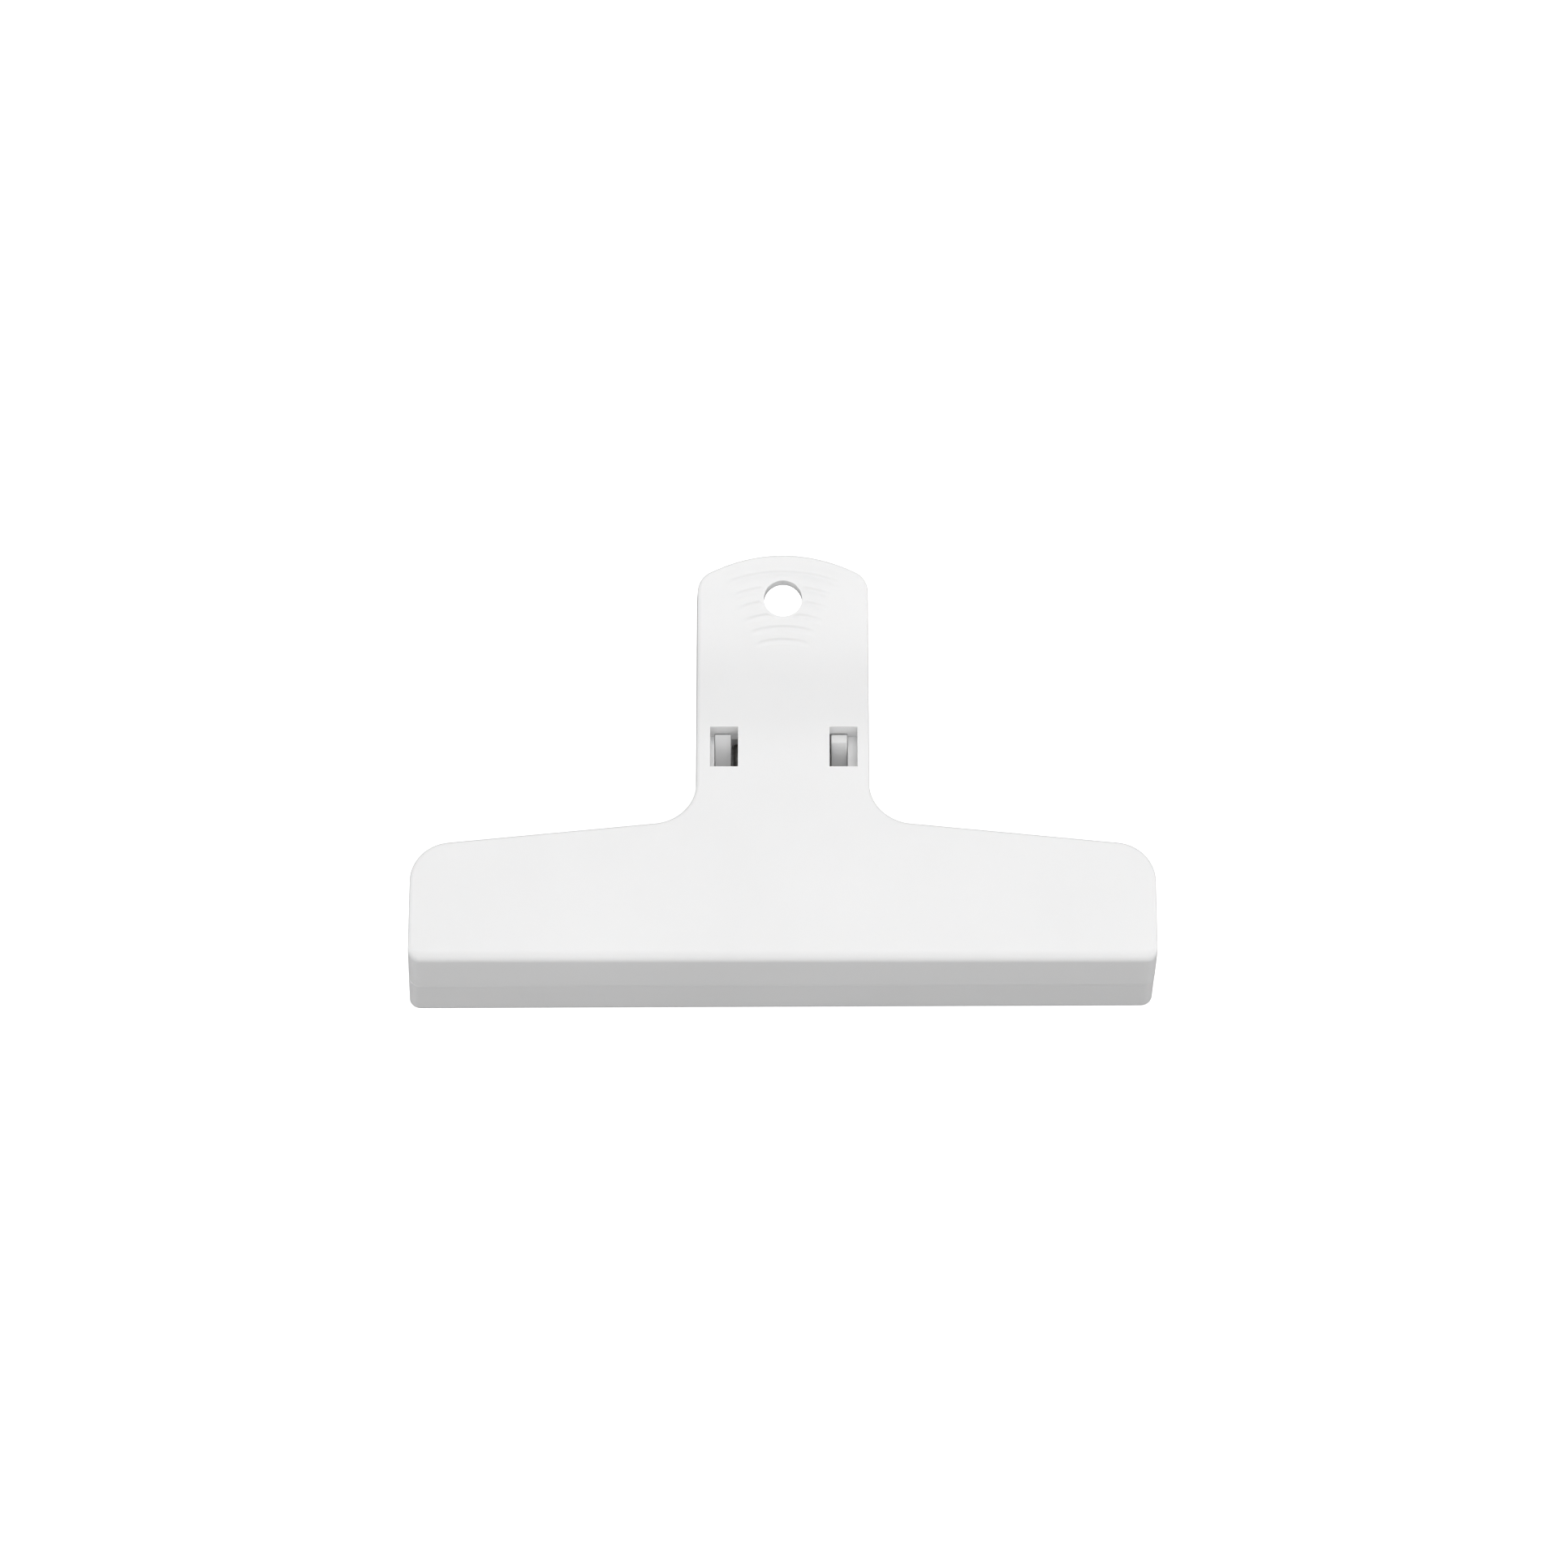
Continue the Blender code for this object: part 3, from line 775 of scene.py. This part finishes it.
def cut_openings(obj, s, side, bore):
    """Windows, hang hole and hinge bore, with softened rims on the first two."""
    cut_windows(obj, s, side)
    combine(obj, hole_cutter(s, side), "DIFFERENCE")
    turned = prism("bore", arc(bore, 0, 2 * pi)[:-1], -BORE_REACH, BORE_REACH)
    combine(obj, turned, "DIFFERENCE")
    soften_edges(obj, s, side)


def moulded_shell(name, mat, side):
    """A bent shell with its grip ribs, before the hinge parts go on."""
    scene = bpy.context.scene
    s, grip = scene.clip_shell, scene.clip_grip
    obj = add_piece(name, to_mesh(flat_shell(s, grip, side), name))
    raise_grip(obj, s, grip, mat)
    bend_shell(s, obj.data, side)
    return obj


def lay_down(mesh, x):
    """Move a mesh from the clip's axes at the hinge to where the frame has it."""
    mesh.transform(Matrix.Translation((x, HINGE_POINT.y, HINGE_POINT.z))
                   @ Matrix.Rotation(TILT, 4, "X"))
    mesh.update()


def finish_shell(obj, body, node, x, mat):
    """Give the half its material and place, hang it on its body and hide the frame's part that it
    stands for.
    """
    obj.data.materials.clear()
    obj.data.materials.append(mat)
    lay_down(obj.data, x)
    smooth(obj, SHELL_SHARP)
    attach(obj, body)
    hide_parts(node)


def smooth(obj, limit):
    """Shade smooth, but keep edges sharper than the limit crisp."""
    obj.data.shade_smooth()
    obj.data.set_sharp_from_angle(angle=limit)
    weights = obj.modifiers.new("normals", "WEIGHTED_NORMAL")
    weights.keep_sharp = True


# ---- wire and pin

def tube(name, path, radius, sides=20):
    """Round bar along a path, with domed ends."""
    points = [Vector(p) for p in path]
    bm = bmesh.new()
    before, across, rings = None, None, []
    for i, point in enumerate(points):
        ahead = points[min(i + 1, len(points) - 1)] - points[max(i - 1, 0)]
        ahead.normalize()
        if across is None:
            across = ahead.orthogonal().normalized()
        else:
            across = before.rotation_difference(ahead) @ across
            across = (across - ahead * across.dot(ahead)).normalized()
        before = ahead
        up = ahead.cross(across)
        rings.append((point, across.copy(), up, ahead.copy()))
    dome = DOME_RISE * radius
    layers = [(i, 0.0, 1.0) for i in range(len(rings))]
    layers = [(0, -dome, DOME_NECK)] + layers + [(-1, dome, DOME_NECK)]
    loops = []
    for index, push, grow in layers:
        point, across, up, ahead = rings[index]
        loop = []
        for k in range(sides):
            a = 2 * pi * k / sides
            spoke = (across * cos(a) + up * sin(a)) * (radius * grow)
            loop.append(bm.verts.new(point + spoke + ahead * push))
        loops.append(loop)
    skin(bm, loops)
    bmesh.ops.recalc_face_normals(bm, faces=bm.faces)
    return to_mesh(bm, name)


def rounded_corner(before, corner, after, radius, steps=8):
    """Points that take the path round a corner on an arc."""
    corner = Vector(corner)
    back = (Vector(before) - corner).normalized()
    on = (Vector(after) - corner).normalized()
    opening = back.angle(on)
    tangent = radius / tan(opening / 2)
    middle = corner + (back + on).normalized() * (radius / sin(opening / 2))
    first, last = corner + back * tangent - middle, corner + on * tangent - middle
    sweep = first.angle(last)
    axis = first.cross(last).normalized()
    return [middle + Matrix.Rotation(sweep * k / steps, 3, axis) @ first
            for k in range(steps + 1)]


def coil_turn(spring):
    """Angle that the wire winds through from leg to leg."""
    return 2 * pi * spring.turns + pi - 2 * spring.leg_angle


def coil_point(spring, total, share):
    """Point of the coil's centre line, from the rear leg's tangent at 0 to the front's at 1."""
    start = 1.5 * pi - spring.leg_angle
    a = start - total * share
    half = spring.pitch * total / (2 * pi) / 2
    return Vector((-half + 2 * half * share, spring.coil * cos(a), spring.coil * sin(a)))


def leg_points(spring, coil_end, side):
    """Leg and foot from the coil's end; side is +1 for the front leg, -1 for the rear."""
    hinge_v = bpy.context.scene.clip_hinge.v
    run = spring.leg_end - hinge_v - coil_end.y
    tip = coil_end + Vector((0, run, side * run * tan(spring.leg_angle)))
    foot = tip + Vector((-side * spring.foot, FOOT_LEAN, 0))
    return rounded_corner(coil_end, tip, foot, spring.bend) + [foot]


# ---- materials

def fill_in(node, **values):
    """Set the node's inputs by name."""
    for name, value in values.items():
        node.inputs[name.replace("_", " ")].default_value = value
    return node


class Shader:
    """A Principled material with object coordinates ready to use."""

    def __init__(self, name):
        self.mat = bpy.data.materials.new(name)
        self.mat.use_nodes = True
        self.nodes = self.mat.node_tree.nodes
        self.links = self.mat.node_tree.links
        self.main = self.nodes["Principled BSDF"]
        self.place = self.nodes.new("ShaderNodeTexCoord").outputs["Object"]

    def feed(self, name, value):
        """Drive one of the shader's inputs."""
        self.links.new(value, self.main.inputs[name])

    def stretch(self, scale):
        """Object coordinates scaled along each axis."""
        node = fill_in(self.nodes.new("ShaderNodeMapping"), Scale=scale)
        self.links.new(self.place, node.inputs["Vector"])
        return node.outputs[0]

    def noise(self, scale, detail=2.0, rough=0.5, vector=None):
        """Noise over the object."""
        node = fill_in(self.nodes.new("ShaderNodeTexNoise"), Scale=scale, Detail=detail,
                       Roughness=rough)
        self.links.new(vector or self.place, node.inputs["Vector"])
        return node.outputs["Fac"]

    def span(self, value, low, high):
        """Noise brought to run from low to high."""
        node = fill_in(self.nodes.new("ShaderNodeMapRange"), From_Min=NOISE_LOW,
                       From_Max=NOISE_HIGH, To_Min=low, To_Max=high)
        self.links.new(value, node.inputs["Value"])
        return node.outputs[0]

    def tint(self, value, dark, light):
        """Colour the surface between two shades."""
        node = self.nodes.new("ShaderNodeMix")
        node.data_type = "RGBA"
        node.inputs["A"].default_value = (*dark, 1.0)
        node.inputs["B"].default_value = (*light, 1.0)
        self.links.new(self.span(value, 0.0, 1.0), node.inputs["Factor"])
        self.feed("Base Color", node.outputs["Result"])

    def bump(self, value, depth, below=None):
        """Relief of the given depth, over another if there is one."""
        node = fill_in(self.nodes.new("ShaderNodeBump"), Strength=1.0, Distance=depth)
        self.links.new(value, node.inputs["Height"])
        if below is not None:
            self.links.new(below, node.inputs["Normal"])
        return node.outputs[0]


def shade_of(base, share):
    """The colour made lighter or darker by a share, no lighter than white."""
    return tuple(min(1.0, channel * share) for channel in base)


def white_plastic():
    """Satin moulded plastic: fine spark-eroded grain, faint flow waves, a little depth."""
    found = bpy.data.materials.get("white_plastic_satin")
    if found:
        return found
    finish = bpy.context.scene.clip_finish
    shader = Shader("white_plastic_satin")
    base = tuple(finish.plastic)
    shader.tint(shader.noise(scale=55.0, detail=3.0), shade_of(base, 0.985),
                shade_of(base, 1.01))
    rough = finish.plastic_rough
    shader.feed("Roughness", shader.span(shader.noise(900.0), rough - 0.04, rough + 0.05))
    waves = shader.bump(shader.noise(30.0, 1.0, vector=shader.stretch((0.4, 1.6, 1.0))), 0.00003)
    grain = shader.bump(shader.noise(5200.0, 2.0, 0.6), 0.0000035, waves)
    shader.feed("Normal", grain)
    fill_in(shader.main, Subsurface_Weight=0.15, Subsurface_Radius=(1.0, 0.92, 0.84),
            Subsurface_Scale=0.001, IOR=1.49)
    return shader.mat


def pin_steel():
    """Zinc-plated bar with fine turning marks round it."""
    shader = Shader("zinc_plated_pin")
    base = tuple(bpy.context.scene.clip_finish.pin)
    marks = shader.noise(1.0, 3.0, 0.6, shader.stretch((9000.0, 300.0, 300.0)))
    shader.tint(shader.noise(scale=700.0, detail=3.0), shade_of(base, 0.88), shade_of(base, 1.05))
    shader.feed("Roughness", shader.span(marks, 0.22, 0.4))
    shader.feed("Normal", shader.bump(marks, 0.000003))
    fill_in(shader.main, Metallic=1.0)
    return shader.mat


def spring_wire():
    """Oil-darkened drawn wire with faint draw lines and mottling."""
    shader = Shader("spring_wire_steel")
    base = tuple(bpy.context.scene.clip_finish.wire)
    shader.tint(shader.noise(scale=900.0, detail=4.0), shade_of(base, 0.75), shade_of(base, 1.15))
    shader.feed("Roughness", shader.span(shader.noise(2500.0, 3.0), 0.28, 0.46))
    shader.feed("Normal", shader.bump(shader.noise(4000.0, 3.0), 0.000004))
    fill_in(shader.main, Metallic=1.0)
    return shader.mat


def floor_paper():
    """White studio paper, with a breath of unevenness."""
    shader = Shader("studio_paper")
    shader.tint(shader.noise(scale=3.0, detail=2.0), (0.91, 0.91, 0.91),
                (0.93, 0.93, 0.93))
    fill_in(shader.main, Roughness=0.9, Emission_Color=(1.0, 1.0, 1.0, 1.0),
            Emission_Strength=0.75, Specular_IOR_Level=0.0)
    return shader.mat


def softbox(stage, name, direction, power):
    """Square lamp that looks at the clip from the given direction."""
    light = bpy.data.lights.new(name, "AREA")
    light.shape = "SQUARE"
    light.size = stage.key_size
    light.energy = power
    lamp = add_piece(name, light)
    back = Vector(direction).normalized()
    lamp.location = back * stage.lamp_distance
    lamp.rotation_euler = back.to_track_quat("Z", "Y").to_euler()


def soft_fill(stage):
    """Even light from above that dims below the horizon."""
    world = bpy.data.worlds.new("soft_fill")
    world.use_nodes = True
    nodes, links = world.node_tree.nodes, world.node_tree.links
    split = nodes.new("ShaderNodeSeparateXYZ")
    links.new(nodes.new("ShaderNodeTexCoord").outputs["Generated"], split.inputs[0])
    span = fill_in(nodes.new("ShaderNodeMapRange"), From_Min=SKY_LOW, From_Max=SKY_HIGH,
                   To_Min=stage.fill_below, To_Max=stage.fill)
    links.new(split.outputs["Z"], span.inputs["Value"])
    nodes["Background"].inputs["Color"].default_value = (1, 1, 1, 1)
    links.new(span.outputs[0], nodes["Background"].inputs["Strength"])
    return world


# ---- operators

class ClipPiece:
    bl_options = {"REGISTER", "UNDO"}


class CLIP_OT_front_half(ClipPiece, bpy.types.Operator):
    """Mould the front half with its windows, lobes, hang hole and grip ribs"""
    bl_idname = "clip.front_half"
    bl_label = "Front Half"

    def execute(self, context):
        s, hinge = context.scene.clip_shell, context.scene.clip_hinge
        mat = white_plastic()
        obj = moulded_shell("front_shell", mat, 1)
        root = s.depth + LOBE_SINK
        lobe = [(hinge.lobe_root, root), (-hinge.lobe_root, root)]
        lobe += arc(hinge.lobe_radius, pi, 2 * pi, BOSS_STEPS)
        for x0, x1 in both_sides(hinge.lobe_in, hinge.lobe_out, hinge.lobe_shift):
            combine(obj, prism("lobe", lobe, x0, x1, hinge.ear_edge), "UNION")
        cross_stay(obj, s, 1)
        cut_openings(obj, s, 1, hinge.lobe_bore)
        finish_shell(obj, HINGE["child"], "front_half", FRONT_X, mat)
        return {"FINISHED"}


class CLIP_OT_rear_half(ClipPiece, bpy.types.Operator):
    """Mould the rear half with its windows, ears, hang hole and grip ribs"""
    bl_idname = "clip.rear_half"
    bl_label = "Rear Half"

    def execute(self, context):
        s, hinge = context.scene.clip_shell, context.scene.clip_hinge
        mat = white_plastic()
        obj = moulded_shell("rear_shell", mat, -1)
        obj.data.transform(Matrix(((1, 0, 0, 0), (s.rear_skew, 1, 0, 0),
                                   (-s.rear_skew * tan(s.jaw_slope), 0, -1, 0), (0, 0, 0, 1))))
        obj.data.flip_normals()
        faces = (hinge.ear_face_right, hinge.ear_face_left)
        ears = both_sides(hinge.ear_in, hinge.ear_out, hinge.ear_shift)
        for (x0, x1), face_v in zip(ears, faces):
            ear = prism("ear", ear_profile(s, hinge, face_v), x0, x1, hinge.ear_edge)
            combine(obj, ear, "UNION")
        cross_stay(obj, s, -1)
        cut_openings(obj, s, -1, hinge.ear_bore)
        finish_shell(obj, HINGE["parent"], "rear_half", REAR_X, mat)
        return {"FINISHED"}


class CLIP_OT_hinge_pin(ClipPiece, bpy.types.Operator):
    """Turn the hinge pin with its chamfered ends"""
    bl_idname = "clip.hinge_pin"
    bl_label = "Hinge Pin"

    def execute(self, context):
        hinge = context.scene.clip_hinge
        end, slope = hinge.pin_half, hinge.pin_chamfer
        inner = hinge.pin_radius - slope
        half = [(end - slope, hinge.pin_radius), (end - CHAMFER_LIP, inner),
                (end, inner - CHAMFER_STEP), (end - DIMPLE_DEPTH, DIMPLE_RADIUS)]
        profile = [(-x, r) for x, r in reversed(half)] + half
        bm = bmesh.new()
        rings = []
        for x, r in profile:
            turns = [2 * pi * k / PIN_SIDES for k in range(PIN_SIDES)]
            rings.append([bm.verts.new((x, r * cos(a), r * sin(a))) for a in turns])
        skin(bm, rings)
        bmesh.ops.recalc_face_normals(bm, faces=bm.faces)
        obj = add_piece("pin_bar", to_mesh(bm, "pin_bar"))
        obj.data.materials.append(pin_steel())
        lay_down(obj.data, FRONT_X)
        smooth(obj, PIN_SHARP)
        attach(obj, HINGE["child"])
        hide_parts("hinge_pin")
        return {"FINISHED"}


class CLIP_OT_torsion_spring(ClipPiece, bpy.types.Operator):
    """Wind the torsion spring: coil and rear leg on the rear jaw, front leg on the front"""
    bl_idname = "clip.torsion_spring"
    bl_label = "Torsion Spring"

    def execute(self, context):
        spring = context.scene.clip_spring
        total = coil_turn(spring)
        steps = int(round(total / COIL_STEP))
        coil = [coil_point(spring, total, k / steps) for k in range(steps + 1)]
        rear_leg = list(reversed(leg_points(spring, coil[0], -1)))
        front_leg = leg_points(spring, coil[-1], 1)
        at = int(steps * COIL_SPLIT)
        mat = spring_wire()
        stub = coil[at:at + int(steps * STUB_RUN)]
        pieces = {
            "spring_coil": (rear_leg + coil[:at + 1], spring.wire, HINGE["parent"]),
            "spring_coil_end": (stub, spring.wire * STUB_GIRTH, HINGE["parent"]),
            "spring_front_leg": (coil[at:] + front_leg, spring.wire, HINGE["child"]),
        }
        for name, (path, radius, body) in pieces.items():
            obj = add_piece(name, tube(name, path, radius))
            obj.data.materials.append(mat)
            lay_down(obj.data, SPRING_X)
            smooth(obj, WIRE_SHARP)
            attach(obj, body)
        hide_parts("torsion_spring")
        return {"FINISHED"}


class CLIP_OT_stage(ClipPiece, bpy.types.Operator):
    """Set out the paper, the lights and the camera"""
    bl_idname = "clip.stage"
    bl_label = "Studio"

    def execute(self, context):
        scene, stage = context.scene, context.scene.clip_stage
        bm = bmesh.new()
        bmesh.ops.create_grid(bm, x_segments=2, y_segments=2, size=FLOOR_HALF)
        floor = add_piece("studio_floor", to_mesh(bm, "studio_floor"))
        floor.data.materials.append(floor_paper())
        floor.location = (0, 0, -FLOOR_DROP)
        floor.visible_diffuse = False
        floor.visible_glossy = False
        softbox(stage, "key_softbox", (tan(stage.key_side), -tan(stage.key_lean), 1.0),
                stage.key_power)
        rise = tan(stage.low_rise)
        softbox(stage, "front_softbox", (0.0, -1.0, rise), stage.front_power)
        softbox(stage, "left_softbox", (-1.0, 0.0, rise), stage.side_power)
        softbox(stage, "right_softbox", (1.0, 0.0, rise), stage.side_power)
        scene.world = soft_fill(stage)
        data = bpy.data.cameras.new("studio_camera")
        data.lens = stage.lens
        data.sensor_width = SENSOR_WIDTH
        data.clip_start, data.clip_end = 0.05, 20.0
        camera = add_piece("studio_camera", data)
        back = Vector((0, -cos(stage.elevation), sin(stage.elevation)))
        camera.location = Vector(stage.aim) + back * stage.distance
        camera.rotation_euler = back.to_track_quat("Z", "Y").to_euler()
        scene.camera = camera
        scene.view_settings.view_transform = "Standard"
        scene.view_settings.look = "None"
        return {"FINISHED"}


class CLIP_PT_panel(bpy.types.Panel):
    """Lists the clip's pieces"""
    bl_idname = "CLIP_PT_panel"
    bl_label = "Bag Clip"
    bl_space_type = "VIEW_3D"
    bl_region_type = "UI"
    bl_category = "Bag Clip"

    def draw(self, context):
        for operator in OPERATORS:
            self.layout.operator(operator.bl_idname)
        for name in GROUPS:
            box = self.layout.box()
            group = getattr(context.scene, name)
            for prop in group.bl_rna.properties:
                if prop.identifier not in ("rna_type", "name"):
                    box.prop(group, prop.identifier)


OPERATORS = (CLIP_OT_front_half, CLIP_OT_rear_half, CLIP_OT_hinge_pin, CLIP_OT_torsion_spring,
             CLIP_OT_stage)
CLASSES = (*GROUPS.values(), *OPERATORS, CLIP_PT_panel)


def register():
    for cls in CLASSES:
        bpy.utils.register_class(cls)
    for name, group in GROUPS.items():
        setattr(bpy.types.Scene, name, PointerProperty(type=group))


def unregister():
    for name in GROUPS:
        delattr(bpy.types.Scene, name)
    for cls in reversed(CLASSES):
        bpy.utils.unregister_class(cls)


def main():
    register()
    for make in (bpy.ops.clip.front_half, bpy.ops.clip.rear_half, bpy.ops.clip.hinge_pin,
                 bpy.ops.clip.torsion_spring, bpy.ops.clip.stage):
        make()


if __name__ == "__main__":
    main()
